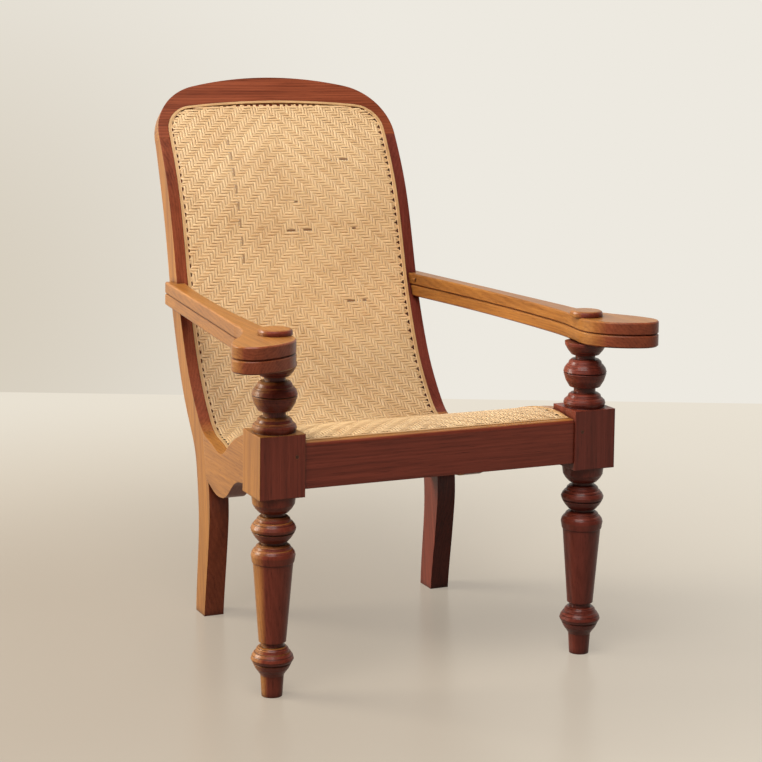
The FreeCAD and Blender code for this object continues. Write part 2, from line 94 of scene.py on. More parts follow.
# Painted light: a face is golden where its share towards the lamps passes a limit, in a run of 1 / gain
DIAGONAL = 0.7
LAMP_FACING_LIMIT, LAMP_FACING_GAIN = 0.70, 3.6
# A turned face slopes where its normal's height passes a limit, in a run of 1 / gain
SLOPE_LIMIT, SLOPE_GAIN = 0.12, 4.0
# The noise over which chisel rings and pores go from dark to nothing, and the openness over which painted
# hollow shade does
CHISEL_RUN = (0.36, 0.50)
PORE_RUN = (0.29, 0.40)
HOLLOW_SHADE_RUN = (0.35, 0.88)
HOLLOW_SHADE_REACH = 0.014
# Edges: the gain of their mask, how much paler they are painted, partly as rubbing and partly as a painted
# highlight, and the radii to which they look rounded
EDGE_GAIN, RUB_AND_HIGHLIGHT = 3.0, 0.45
BOARD_EDGE, ARM_EDGE, KNOB_EDGE, TURNED_EDGE = 0.0018, 0.0022, 0.0025, 0.0028
# The relief of the chisel rings, and of the fibres with the pores at a share of them
GROOVE_RELIEF = {"Strength": 0.8, "Distance": 0.0006}
FIBRE_RELIEF = {"Strength": 0.30, "Distance": 0.0002}
PORE_RELIEF_SHARE = 0.6
# How rough the wood is at the least, and what its bands and fibres add, under a thin coat of wax
LEAST_ROUGH, BAND_ROUGH, FIBRE_ROUGH = 0.26, 0.20, 0.10
WAX = {"Coat_Weight": 0.18, "Coat_Roughness": 0.16, "Specular_IOR_Level": 0.2}
# Rotations that bring a board's length onto the grain's Z, and the lean of the crest and the stiles
ALONG = {"X": (0.0, math.radians(-90.0), 0.0), "Y": (math.radians(90.0), 0.0, 0.0), "Z": (0.0, 0.0, 0.0)}
CREST_LEAN = math.radians(-33.5)
STILE_LEAN = math.radians(9.0)

# The cane's light and dark colours in display values, on the long strands, the cross strands and the reed
LONG_CANE = ((254, 219, 168), (200, 147, 89))
# The cross strands' cane is a little darker: painted shade
CROSS_CANE = ((253, 216, 164), (195, 141, 84))
REED_CANE = ((226, 184, 130), (176, 124, 74))
# Brown of worn places: partly worn cane, partly painted shade of the gaps there
WORN_AND_SHADE_BROWN = (122, 78, 42)
# Changes a metre of its fibres and blotches across and along a strand, and of its patches anywhere
CANE_FIBRES = (3400.0, 55.0, 1.0)
CANE_BLOTCHES = (130.0, 22.0, 1.0)
CANE_PATCHES = 13.0
FIBRE_PART, BLOTCH_PART, PATCH_PART = 0.35, 0.55, 0.35
CANE_RELIEF = {"Strength": 0.3, "Distance": 0.0002}
CANE_SHEEN = {"Roughness": 0.36, "Specular_IOR_Level": 0.5}
CANE_TONES = ((0.38, BLACK), (0.56, (0.62, 0.62, 0.62, 1.0)), (0.76, WHITE))
# The cane is darkened to a share of its colour below the first height, and not at all above the second
SEAT_HEIGHTS = (0.42, 0.58)
SEAT_SHARE = 0.80
# How far below the top of the back reed it turns to run from side to side
REED_TURN = 0.03

# The weave. Long strands run from the front to the crest and cross strands from side to side.
STRAND_PITCH = 0.006
STRAND_WIDTH = 0.0057
STRAND_RISE = 0.0005
STRAND_CROWN = 0.00045
STRAND_THICKNESS = 0.0007
# Shares of a strand's width: its crown, and the width of the thinnest strand
CROWN_SHARE = 0.55
THINNEST = 0.95
# How deep the weave's middle lies under the panel's face, how many crossings a strand floats over, where
# the chevron's middle is, and the fewest crossings that make a strand
WEAVE_SINK = 0.0011
FLOAT = 3
CHEVRON_AT = -0.008
FEWEST_CROSSINGS = 5
# The seed of its small irregularities, and how many pieces the strands of each kind are joined into
SEED = 7
PIECES_A_KIND = 2
# The steps of a strand near its ends, and its clearance there
END_STEPS = np.array([0.0, 0.002, 0.0045, 0.007, 0.0095])
END_GAP = 0.001
# Every strand wavers by a sine with a phase of its own, and lies a little off its line
WAVER = 0.0002
SCATTER = 0.0001
FULL_TURN = 6.3
# The lacing of each kind of strand: where it starts before the end, the run in which it takes hold, how
# much of the way to the middle of its group it draws the strand, how much it thins it and how deep it
# pulls it. Then how quickly the strand wavers, in radians a metre, and how brown it is where it is worn,
# as worn cane and as painted shade of the gaps there
LACE_REACH = 0.0085
LONG = SimpleNamespace(start=0.0095, run=0.0075, draw=0.5, thins=0.3, dip=0.0012, waver=37.0, brown=0.6)
CROSS = SimpleNamespace(start=LACE_REACH, run=0.005, draw=0.55, thins=0.45, dip=0.0006, waver=41.0,
                        brown=0.85)
# The strand that closes the lacing: its width, where it starts, and how far from the middle it ends
EDGE_STRAND = 0.0022
EDGE_START = 0.002
EDGE_END_ACROSS = 0.205
EDGE_STEPS = 300
# Where a section's five points lie across a strand on its UV map, as shares of its width, and how far the
# map moves on from strand to strand, so that each has a tone of its own
SECTION_SHARES = np.array([-0.5, -0.28, 0.28, 0.5, 0.0])
SECTION = len(SECTION_SHARES)
MAP_STEP = (0.37, 0.91)
# Worn places: (distance below the top end, from across, to across) on cross strands, and
# (across, from, to) below the top end on a long strand
WORN_ROWS = ((0.132, 0.103, 0.145), (0.222, 0.005, 0.022), (0.281, -0.027, 0.048), (0.281, 0.120, 0.136),
             (0.434, 0.098, 0.140))
WORN_COLUMN = (-0.117, 0.084, 0.350)
WORN_THINS = 0.3
WORN_SHIFT = 0.0006

# Reading the panel: the fan's middle ahead of the sling's middle and over its top, the front edge's height
# over the lowest point, the fan's slack and rays, and the knots of the line that they give
FAN_AHEAD = 0.12
FAN_OVER = 0.12
FRONT_EDGE_OVER_LOW = 0.105
FAN_SLACK = 0.02
FAN_RAYS = 400
LINE_KNOTS = 60
DIRECTION_STEP = 0.002
# Its half width is read inside its thickness, in finer steps where the top corners are round
IN_THE_PANEL = -0.0015
CORNER_LENGTH = 0.13
STRAIGHT_READINGS, CORNER_READINGS = 300, 400

# The studio: how far the floor and the wall reach, and the wall's height, middle and turn
REACH = 12.0
WALL_HEIGHT = 9.0
WALL_PLACE = (1.036, 1.886)
WALL_TURN = YAW
# Distances from the chair over which the floor and the wall go over to being seen unlit
UNLIT_RUN = (1.1, 2.4)
SKY = 0.13
SKY_COLOUR = (1.0, 0.80, 0.78, 1.0)
# Lights: name, place, what it is aimed at, size, power and colour
LIGHTS = (("key", (-3.7, 1.9, 2.1), (0.0, 0.0, 0.5), (2.2, 2.0), 230.0, (1.0, 0.98, 0.88)),
          ("softbox", (-1.1, -1.4, 3.4), (0.0, 0.0, 0.5), (2.4, 2.4), 132.0, (1.0, 0.98, 0.94)))


# Small makers


def srgb(red, green, blue):
    """A linear colour from 0 to 255 display values."""
    values = np.array([red, green, blue]) / 255.0
    linear = np.where(values <= 0.04045, values / 12.92, ((values + 0.055) / 1.055) ** 2.4)
    return (*linear.tolist(), 1.0)


def mesh_piece(name, points, face_sets, material, smooth=True):
    """A mesh object from an array of points and arrays of faces, each array with one number of corners."""
    mesh = bpy.data.meshes.new(name)
    mesh.vertices.add(len(points))
    mesh.vertices.foreach_set("co", np.asarray(points, np.float32).ravel())
    face_sets = [np.asarray(faces, np.int32) for faces in face_sets]
    corners = np.concatenate([faces.ravel() for faces in face_sets])
    counts = np.concatenate([np.full(len(faces), faces.shape[1], np.int32) for faces in face_sets])
    mesh.loops.add(len(corners))
    mesh.loops.foreach_set("vertex_index", corners)
    mesh.polygons.add(len(counts))
    mesh.polygons.foreach_set("loop_start", (np.cumsum(counts) - counts).astype(np.int32))
    mesh.update(calc_edges=True)
    mesh.validate()
    mesh.polygons.foreach_set("use_smooth", [smooth] * len(mesh.polygons))
    mesh.materials.append(material)
    piece = bpy.data.objects.new(name, mesh)
    bpy.context.scene.collection.objects.link(piece)
    return piece


def put(tree, slot, value):
    """Links a socket to an input, or sets the input to a value."""
    if isinstance(value, bpy.types.NodeSocket):
        tree.links.new(value, slot)
    else:
        slot.default_value = value


def put_all(tree, made, **inputs):
    """Puts values or sockets on a node's inputs, named with underscores for spaces."""
    for label, value in inputs.items():
        put(tree, made.inputs[label.replace("_", " ")], value)


def node(tree, kind, **settings):
    """A shader node. Settings in small letters are its properties, and the others its inputs."""
    made = tree.nodes.new(kind)
    for label, value in settings.items():
        if label[0].islower():
            setattr(made, label, value)
        else:
            put_all(tree, made, **{label: value})
    return made


def maths(tree, operation, first, second=0.0, clamp=False):
    """A Math node on two sockets or numbers."""
    made = node(tree, "ShaderNodeMath", operation=operation, use_clamp=clamp)
    for slot, value in zip(made.inputs, (first, second)):
        put(tree, slot, value)
    return made.outputs[0]


def plus(tree, first, second, clamp=False):
    """The sum of two sockets or numbers."""
    return maths(tree, "ADD", first, second, clamp)


def times(tree, first, second, clamp=False):
    """The product of two sockets or numbers."""
    return maths(tree, "MULTIPLY", first, second, clamp)


def weighted(tree, *parts):
    """The sum of sockets, each times its share, from (socket, share) pairs."""
    scaled = [times(tree, socket, share) for socket, share in parts]
    total = scaled[0]
    for part in scaled[1:]:
        total = plus(tree, total, part)
    return total


def vector_maths(tree, operation, *vectors):
    """The value of a Vector Math node on sockets or vectors."""
    made = node(tree, "ShaderNodeVectorMath", operation=operation)
    for slot, value in zip(made.inputs, vectors):
        put(tree, slot, value)
    return made.outputs["Value"]


def eased(tree, value, start, end, low=0.0, high=1.0):
    """A value's run from start to end, turned into a smooth step from low to high."""
    return node(tree, "ShaderNodeMapRange", interpolation_type="SMOOTHSTEP", Value=value, From_Min=start,
                From_Max=end, To_Min=low, To_Max=high).outputs[0]


def ramp(tree, source, stops):
    """A colour ramp on a value, from (position, colour) stops."""
    made = node(tree, "ShaderNodeValToRGB", Fac=source)
    elements = made.color_ramp.elements
    while len(elements) < len(stops):
        elements.new(1.0)
    for element, (position, colour) in zip(elements, stops):
        element.position = position
        element.color = colour
    return made.outputs["Color"]


def mask(tree, source, low, high):
    """Black where a value is under low, white where it is over high, and a straight run between."""
    return ramp(tree, source, ((low, BLACK), (high, WHITE)))


def mix(tree, factor, first, second, blend="MIX"):
    """A colour mix of two sockets or colours."""
    made = node(tree, "ShaderNodeMix", data_type="RGBA", blend_type=blend)
    for slot, value in zip((made.inputs[0], made.inputs[6], made.inputs[7]), (factor, first, second)):
        put(tree, slot, value)
    return made.outputs[2]


def darkened(tree, colour, shade):
    """A colour multiplied by another."""
    return mix(tree, 1.0, colour, shade, "MULTIPLY")


def stretched(tree, vector, changes, detail=4.0, roughness=0.55, distortion=0.0):
    """Noise with a number of changes a metre on each axis: a small number draws it out along that axis."""
    scaled = node(tree, "ShaderNodeMapping", Vector=vector, Scale=changes).outputs[0]
    return node(tree, "ShaderNodeTexNoise", Vector=scaled, Scale=1.0, Detail=detail, Roughness=roughness,
                Distortion=distortion).outputs["Fac"]


def blend_shaders(tree, factor, first, second):
    """A Mix Shader node between two shader nodes."""
    made = tree.nodes.new("ShaderNodeMixShader")
    for slot, value in zip(made.inputs, (factor, first.outputs[0], second.outputs[0])):
        put(tree, slot, value)
    return made


def new_group(name, inputs, outputs):
    """An empty shader node group from (label, kind, value) inputs and (label, kind) outputs."""
    group = bpy.data.node_groups.new(name, "ShaderNodeTree")
    for label, kind, value in inputs:
        made = group.interface.new_socket(label, in_out="INPUT", socket_type="NodeSocket" + kind)
        if value is not None:
            made.default_value = value
    for label, kind in outputs:
        group.interface.new_socket(label, in_out="OUTPUT", socket_type="NodeSocket" + kind)
    return group, group.nodes.new("NodeGroupInput").outputs, group.nodes.new("NodeGroupOutput").inputs


def new_material(name):
    """A material with its node tree and its Principled BSDF."""
    material = bpy.data.materials.new(name)
    material.use_nodes = True
    return material, material.node_tree, material.node_tree.nodes["Principled BSDF"]


# Wood


def growth_rings(tree, vector, scale):
    """Rings round the grain's Z, long along it, which a slow noise pushes in and out."""
    drawn = node(tree, "ShaderNodeMapping", Vector=vector, Scale=RING_DRAW).outputs[0]
    push = times(tree, stretched(tree, vector, BENDS, detail=3.0), RING_PUSH)
    return node(tree, "ShaderNodeTexWave", wave_type="RINGS", rings_direction="Z", wave_profile="SIN",
                Vector=drawn, Scale=scale, Phase_Offset=push, Distortion=6.0, Detail=3.0, Detail_Scale=1.2,
                Detail_Roughness=0.6).outputs["Fac"]


def grain_group():
    """Hardwood with its grain along the Z of Vector.

    Rings, bands, streaks and fine fibres are summed into its tone, and pores are cut in. Painted light turns
    it golden where it faces the lamps: there -x, z or the sum of both, scaled as a diagonal, is large. The
    chisel's rings show on the slopes of Turned pieces. Its edges are painted paler, partly as rubbing and
    partly as a painted highlight, and painted shade darkens its hollows, where the surroundings close in."""
    group, ins, outs = new_group(
        "hardwood_grain",
        (("Vector", "Vector", None), ("Ring Scale", "Float", 60.0), ("Contrast", "Float", 1.0),
         ("Rounding", "Float", BOARD_EDGE), ("Wood", "Color", RUSSET), ("Faded", "Color", GOLDEN_PAINTED_LIGHT),
         ("Turned", "Float", 0.0)),
        (("Color", "Color"), ("Roughness", "Float"), ("Normal", "Vector")))
    vector = ins["Vector"]
    bands = stretched(group, vector, BANDS, detail=5.0, roughness=0.6, distortion=0.4)
    streaks = stretched(group, vector, STREAKS, roughness=0.65, distortion=0.3)
    fibres = stretched(group, vector, FIBRES, roughness=0.7)
    tone = weighted(group, (growth_rings(group, vector, ins["Ring Scale"]), RING_SHARE), (bands, BAND_SHARE),
                    (streaks, STREAK_SHARE), (fibres, FIBRE_SHARE))
    tone = times(group, plus(group, tone, -MIDDLE_SUM), ins["Contrast"])
    shade = ramp(group, plus(group, tone, MIDDLE_TONE, clamp=True), TONES)

    place = node(group, "ShaderNodeTexCoord").outputs
    normal = node(group, "ShaderNodeSeparateXYZ", Vector=place["Normal"]).outputs
    # Painted light: faces turned to the lamps take the golden colour
    left = times(group, normal["X"], -1.0)
    diagonal = times(group, plus(group, left, normal["Z"]), DIAGONAL)
    to_lamps = maths(group, "MAXIMUM", maths(group, "MAXIMUM", left, normal["Z"]), diagonal)
    lit = times(group, plus(group, to_lamps, -LAMP_FACING_LIMIT), LAMP_FACING_GAIN, clamp=True)
    wood = darkened(group, mix(group, lit, ins["Wood"], ins["Faded"]), shade)

    slope = plus(group, maths(group, "ABSOLUTE", normal["Z"]), -SLOPE_LIMIT)
    slope = times(group, times(group, slope, SLOPE_GAIN, clamp=True), ins["Turned"])
    chisel = mask(group, stretched(group, place["Object"], CHISEL_RINGS, detail=1.0), *CHISEL_RUN)
    wood = mix(group, slope, wood, darkened(group, wood, mix(group, chisel, CHISEL_DARK, WHITE)))
    pores = mask(group, stretched(group, vector, PORES, detail=2.0, roughness=0.5), *PORE_RUN)
    wood = darkened(group, wood, mix(group, pores, PORE_DARK, WHITE))

    rounded = node(group, "ShaderNodeBevel", samples=6, Radius=ins["Rounding"]).outputs[0]
    flat = node(group, "ShaderNodeNewGeometry").outputs["Normal"]
    turn = maths(group, "SUBTRACT", 1.0, vector_maths(group, "DOT_PRODUCT", rounded, flat))
    edge = times(group, turn, EDGE_GAIN, clamp=True)
    # Paler edges: partly rubbing, partly a painted highlight
    rub_and_highlight = times(group, times(group, edge, stretched(group, vector, RUB_AND_HIGHLIGHT_NOISE)), RUB_AND_HIGHLIGHT, clamp=True)
    wood = mix(group, rub_and_highlight, wood, ins["Faded"])
    # Painted shade: darker where the surroundings close in, read by ambient occlusion
    occlusion = node(group, "ShaderNodeAmbientOcclusion", samples=4, Distance=HOLLOW_SHADE_REACH).outputs["AO"]
    deepest, open_air = HOLLOW_SHADE_RUN
    wood = darkened(group, wood, ramp(group, occlusion, ((deepest, HOLLOW_SHADE), (open_air, WHITE))))

    grooved = node(group, "ShaderNodeBump", Height=times(group, chisel, slope), Normal=rounded,
                   **GROOVE_RELIEF).outputs[0]
    relief = plus(group, fibres, times(group, pores, PORE_RELIEF_SHARE))
    fine = node(group, "ShaderNodeBump", Height=relief, Normal=grooved, **FIBRE_RELIEF).outputs[0]
    rough = weighted(group, (bands, BAND_ROUGH), (fibres, FIBRE_ROUGH))
    put(group, outs["Color"], wood)
    put(group, outs["Roughness"], plus(group, rough, LEAST_ROUGH))
    put(group, outs["Normal"], fine)
    return group


GRAIN = grain_group()


def wood_material(name, along, heart, rings, contrast=1.0, wood=RUSSET, faded=GOLDEN_PAINTED_LIGHT, tilt=0.0,
                  edge=BOARD_EDGE, turned=0.0):
    """Oiled hardwood with its grain along an axis, tilted about X. The tree's middle lies at heart.

    edge is the radius of its edges, and turned is how strongly the chisel's rings show. Its second colour is
    painted light, on faces turned to the lamps."""
    material, tree, shader = new_material(name)
    place = node(tree, "ShaderNodeTexCoord").outputs["Object"]
    centred = node(tree, "ShaderNodeMapping", Vector=place, Location=[-value for value in heart]).outputs[0]
    about_x, about_y, about_z = ALONG[along]
    lying = node(tree, "ShaderNodeMapping", Vector=centred,
                 Rotation=(about_x + tilt, about_y, about_z)).outputs[0]
    grain = node(tree, "ShaderNodeGroup", node_tree=GRAIN, Vector=lying, Ring_Scale=rings, Contrast=contrast,
                 Rounding=edge, Wood=wood, Faded=faded, Turned=turned).outputs
    put_all(tree, shader, Base_Color=grain["Color"], Roughness=grain["Roughness"], Normal=grain["Normal"],
            **WAX)
    return material


def cut_wood(name, along, off_middle, rings, **finish):
    """Gives a wooden CAD node its own cut, with the tree's middle off the middle of the node.

    rings sets how close the growth rings lie."""
    low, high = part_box(name)
    heart = (Vector(low) + Vector(high)) / 2 + Vector(off_middle)
    nodes[name].material_slots[0].material = wood_material("wood_" + name, along, heart, rings, **finish)


def dress_wood():
    """Gives every wooden CAD node its own cut of the wood. The right post and stile are painted darker, as
    shade.
    """
    cut_wood("front_rail", "X", (0.3, -0.07, -0.05), 55.0, contrast=1.2, wood=CHESTNUT)
    cut_wood("rear_rail", "X", (0.1, 0.06, 0.02), 60.0)
    cut_wood("crest_rail", "X", (-0.2, -0.05, -0.11), 50.0, contrast=1.5, tilt=CREST_LEAN)
    # The right post and stile take darker colours as painted shade
    for side, flip, post, stile, faded in (("left", -1.0, CHESTNUT, RUSSET, GOLDEN_PAINTED_LIGHT),
                                           ("right", 1.0, OXBLOOD_SHADE, OXBLOOD_SHADE, CHESTNUT)):
        cut_wood("front_post_" + side, "Z", (0.012 * flip, 0.021, 0.1), 75.0, contrast=0.9, wood=post,
                 edge=TURNED_EDGE, faded=faded, turned=1.0)
        cut_wood("back_stile_" + side, "Z", (0.07 * flip, -0.03, 0.2 * flip), 60.0, contrast=1.1, wood=stile,
                 tilt=STILE_LEAN, faded=faded)
        cut_wood("side_rail_" + side, "Y", (0.05 * flip, 0.1, -0.07), 62.0, contrast=1.1)
        cut_wood("arm_" + side, "Y", (0.05 * flip, 0.3 * flip, 0.045), 58.0, edge=ARM_EDGE)
        cut_wood("leg_rest_" + side, "Y", (-0.04 * flip, 0.2 * flip, -0.05), 58.0, edge=ARM_EDGE)
        cut_wood("pivot_knob_" + side, "Y", (0.02 * flip, 0.0, 0.05), 70.0, wood=CHESTNUT, edge=KNOB_EDGE)
    pegs = wood_material("wood_pegs", "Y", (0.0, 0.0, 0.0), 90.0, contrast=0.8, wood=DARK_PEG)
    for name in ("front_rail_pegs", "arm_dowels"):
        nodes[name].material_slots[0].material = pegs


# Cane and reed


def cane_group():
    """Split cane: fibres, blotches and patches are summed into its tone, from Dark to Light.

    Vector is (across the strand, along it). The cane is a little darker below a height, and a strand is
    brown where an attribute says so: partly worn cane, partly painted shade of the gaps there."""
    group, ins, outs = new_group(
        "split_cane", (("Vector", "Vector", None), ("Light", "Color", WHITE), ("Dark", "Color", BLACK)),
        (("Color", "Color"), ("Normal", "Vector")))
    fibres = stretched(group, ins["Vector"], CANE_FIBRES, detail=3.0)
    blotches = stretched(group, ins["Vector"], CANE_BLOTCHES)
    place = node(group, "ShaderNodeTexCoord").outputs["Object"]
    patches = node(group, "ShaderNodeTexNoise", Vector=place, Scale=CANE_PATCHES, Detail=4.0,
                   Roughness=0.6).outputs["Fac"]
    tone = weighted(group, (fibres, FIBRE_PART), (blotches, BLOTCH_PART), (patches, PATCH_PART))
    cane = mix(group, ramp(group, tone, CANE_TONES), ins["Dark"], ins["Light"])
    height = node(group, "ShaderNodeSeparateXYZ", Vector=place).outputs["Z"]
    cane = darkened(group, cane, eased(group, height, *SEAT_HEIGHTS, low=SEAT_SHARE))
    wear_and_shade = node(group, "ShaderNodeAttribute", attribute_name="wear_and_shade").outputs["Fac"]
    put(group, outs["Color"], mix(group, wear_and_shade, cane, srgb(*WORN_AND_SHADE_BROWN)))
    put(group, outs["Normal"], node(group, "ShaderNodeBump", Height=fibres, **CANE_RELIEF).outputs[0])
    return group


def reed_group():
    """Places on a reed as (across it, along it): it runs by y + z, and by x where z is over Turn."""
    group, ins, outs = new_group("reed_run", (("Turn", "Float", 0.0),), (("Places", "Vector"),))
    place = node(group, "ShaderNodeTexCoord").outputs["Object"]
    parts = node(group, "ShaderNodeSeparateXYZ", Vector=place).outputs
    run = plus(group, parts["Y"], parts["Z"])
    up_the_sides = node(group, "ShaderNodeCombineXYZ", X=parts["X"], Y=run).outputs[0]
    side_to_side = node(group, "ShaderNodeCombineXYZ", X=run, Y=parts["X"]).outputs[0]
    turned = maths(group, "GREATER_THAN", parts["Z"], ins["Turn"])
    put(group, outs["Places"], mix(group, turned, up_the_sides, side_to_side))
    return group


CANE = cane_group()
REED_RUN = reed_group()


def cane_material(name, colours, turn=None):
    """Split cane on the strands' own UV map, or on a reed that turns at a height."""
    material, tree, shader = new_material(name)
    light, dark = [srgb(*colour) for colour in colours]
    if turn is None:
        along = node(tree, "ShaderNodeUVMap", uv_map="strand").outputs[0]
    else:
        along = node(tree, "ShaderNodeGroup", node_tree=REED_RUN, Turn=turn).outputs["Places"]
    cane = node(tree, "ShaderNodeGroup", node_tree=CANE, Vector=along, Light=light, Dark=dark).outputs
    put_all(tree, shader, Base_Color=cane["Color"], Normal=cane["Normal"], **CANE_SHEEN)
    return material


def dress_reed():
    """Gives the two reeds their cane. The front one runs from side to side at any height."""
    back_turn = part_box("back_reed")[1][2] - REED_TURN
    for name, turn in (("back_reed", back_turn), ("front_reed", 0.0)):
        nodes[name].material_slots[0].material = cane_material(name, REED_CANE, turn)


# The shape of the sling


def panel_surface():
    """A ray-casting tree of the CAD panel, whose shape the weave follows."""
    mesh = nodes["cane_sling"].data
    points = [vertex.co.copy() for vertex in mesh.vertices]
    return BVHTree.FromPolygons(points, [tuple(face.vertices) for face in mesh.polygons])


def natural_spline(knots, values, at):
    """The natural cubic spline through (knot, value) pairs, read at the given places.

    Its second derivatives solve the system that makes the slopes meet at the knots, and are 0 at the ends."""
    gaps = np.diff(knots)
    count = len(knots)
    system = np.eye(count)
    right = np.zeros(count)
    for row in range(1, count - 1):
        system[row, row - 1:row + 2] = gaps[row - 1], 2.0 * (gaps[row - 1] + gaps[row]), gaps[row]
        right[row] = 6.0 * ((values[row + 1] - values[row]) / gaps[row]
                            - (values[row] - values[row - 1]) / gaps[row - 1])
    bend = np.linalg.solve(system, right)
    cell = np.clip(np.searchsorted(knots, at) - 1, 0, count - 2)
    gap, start, end = gaps[cell], at - knots[cell], knots[cell + 1] - at
    return (bend[cell] * end ** 3 + bend[cell + 1] * start ** 3) / (6.0 * gap) \
        + (values[cell] / gap - bend[cell] * gap / 6.0) * end \
        + (values[cell + 1] / gap - bend[cell + 1] * gap / 6.0) * start


def sling_line(surface):
    """The middle line of the sling's upper face: lengths along it, and its (behind, height) points there.

    It is what a fan of rays, from a point over the seat, meets from the front edge round to the crest."""
    low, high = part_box("cane_sling")
    eye = Vector((0.0, (low[1] + high[1]) / 2 - FAN_AHEAD, high[2] + FAN_OVER))
    first = math.atan2(low[2] + FRONT_EDGE_OVER_LOW - eye.z, low[1] - eye.y)
    first += 2.0 * math.pi if first < 0.0 else 0.0
    last = math.atan2(high[2] - eye.z, high[1] - eye.y) + 2.0 * math.pi
    hits = []
    for angle in np.linspace(first - FAN_SLACK, last, FAN_RAYS):
        spot = surface.ray_cast(eye, Vector((0.0, math.cos(angle), math.sin(angle))))[0]
        if spot is not None:
            hits.append((spot.y, spot.z))
    hits = np.array(hits)
    run = np.concatenate([[0.0], np.cumsum(np.hypot(*np.diff(hits, axis=0).T))])
    knots = np.linspace(0.0, run[-1], LINE_KNOTS)
    return knots, np.stack([np.interp(knots, run, hits[:, 0]), np.interp(knots, run, hits[:, 1])], -1)


class Sling:
    """The sling's upper face as a function of (across, along), with its outline.

    A point is (across, behind, height): the line's point at that length, moved up along its normal."""

    def __init__(self):
        """Reads the line and, at steps along it, half of the panel's width."""
        self.surface = panel_surface()
        self.knots, self.line = sling_line(self.surface)
        self.length = float(self.knots[-1])
        corner = self.length - CORNER_LENGTH
        self.steps = np.concatenate([np.linspace(0.0, corner, STRAIGHT_READINGS),
                                     np.linspace(corner, self.length, CORNER_READINGS)[1:]])
        self.halves = np.array([self.half_width(at) for at in self.steps])
        self.falling = np.maximum.accumulate(self.halves[::-1])

    def read(self, along):
        """(behind, height) at lengths within the line, by a spline through its knots."""
        return np.stack([natural_spline(self.knots, self.line[:, part], along) for part in (0, 1)], -1)

    def direction(self, along):
        """The line's unit direction at a length along it: the difference of two near points."""
        at = np.clip(along, DIRECTION_STEP, self.length - DIRECTION_STEP)
        slope = self.read(at + DIRECTION_STEP) - self.read(at - DIRECTION_STEP)
        return slope / np.linalg.norm(slope, axis=-1, keepdims=True)

    def point(self, along):
        """(behind, height) at a length along the line, run straight on past its ends."""
        inside = np.clip(along, 0.0, self.length)
        return self.read(inside) + self.direction(along) * (along - inside)[..., None]

    def place(self, across, along, lift):
        """Points in the room from place on the sling and height over its face, as arrays."""
        across, along, lift = np.broadcast_arrays(across, along, lift)
        slope = self.direction(along)
        normal = np.stack([-slope[..., 1], slope[..., 0]], -1)
        spot = self.point(along) + normal * lift[..., None]
        return np.stack([across, spot[..., 0], spot[..., 1]], -1)

    def half_width(self, along):
        """Half the panel's width at a length along it, by a ray inside its thickness."""
        start = self.place(0.0, np.array(along), np.array(IN_THE_PANEL))
        spot = self.surface.ray_cast(Vector(start), Vector((1.0, 0.0, 0.0)))[0]
        return spot.x if spot is not None else 0.0

    def width_at(self, along):
        """Half the panel's width between the readings."""
        return np.interp(along, self.steps, self.halves)

    def end_at(self, across):
        """How far along a strand at this place across runs before the panel's outline cuts it."""
        return float(np.interp(abs(across), self.falling, self.steps[::-1]))


# The strands


def over(column, row):
    """1 where the long strand lies on top of the cross strand, else 0.

    A twill: a long strand is on top for FLOAT rows and under for as many, one row nearer the front in each
    next column out from the middle one, which makes one big chevron."""
    return ((row + np.abs(column)) % (2 * FLOAT) < FLOAT).astype(float)


def ease(value):
    """The smooth step 3v^2 - 2v^3 of a value held between 0 and 1."""
    value = np.clip(value, 0.0, 1.0)
    return value * value * (3.0 - 2.0 * value)


def strand_steps(start, end, cells, states):
    """Places along a strand between two ends, and its height there.

    The height is STRAND_RISE at a crossing where the strand is on top and -STRAND_RISE where it is under,
    and it runs straight between the crossings."""
    at = np.sort(np.concatenate([cells, (cells[:-1] + cells[1:]) / 2.0]))
    lift = np.interp(at, cells, 2.0 * states - 1.0)
    clear = END_STEPS[-1] + END_GAP
    inner = at[(at > start + clear) & (at < end - clear)]
    places = np.concatenate([start + END_STEPS, inner, end - END_STEPS[::-1]])
    return places, np.interp(places, at, lift) * STRAND_RISE


def strand(sling, across, along, lift, breadths, wear_and_shade):
    """One strand's path, its up and sideways directions, its breadths and how brown it is, from wear and
    painted shade.

    Its places are given on the sling, with a lift over the weave's own level. Sideways is square to the
    path and to the sling's normal, and up is square to the path and to sideways."""
    centres = sling.place(across, along, lift - WEAVE_SINK)
    slope = np.gradient(centres, axis=0)
    slope /= np.linalg.norm(slope, axis=1, keepdims=True)
    ahead = sling.direction(along)
    normal = np.stack([np.zeros(len(ahead)), -ahead[:, 1], ahead[:, 0]], -1)
    sides = np.cross(slope, normal)
    sides /= np.linalg.norm(sides, axis=1, keepdims=True)
    return centres, np.cross(sides, slope), sides, breadths, wear_and_shade


def strand_mesh(centres, ups, sides, breadths):
    """Points, quads and triangles of one flat strand with a crowned top and closed ends.

    At every step it has five points round: its left edge, two on the crown, its right edge and one below.
    Each end is a quad over the edges and the crown, and a triangle over the edges and the point below."""
    half = sides * (breadths / 2.0)[:, None]
    inner, crown = half * CROWN_SHARE, ups * STRAND_CROWN
    points = np.stack([centres - half, centres - inner + crown, centres + inner + crown, centres + half,
                       centres - ups * STRAND_THICKNESS], 1)
    around = np.arange(SECTION)
    onward = (around + 1) % SECTION
    last = (len(centres) - 1) * SECTION
    start = np.arange(0, last, SECTION)[:, None]
    faces = np.stack([start + around, start + onward, start + SECTION + onward, start + SECTION + around], -1)
    quads = np.concatenate([faces.reshape(-1, 4), [(3, 2, 1, 0), (last, last + 1, last + 2, last + 3)]])
    return points.reshape(-1, 3), quads, np.array([(4, 3, 0), (last, last + 3, last + 4)])


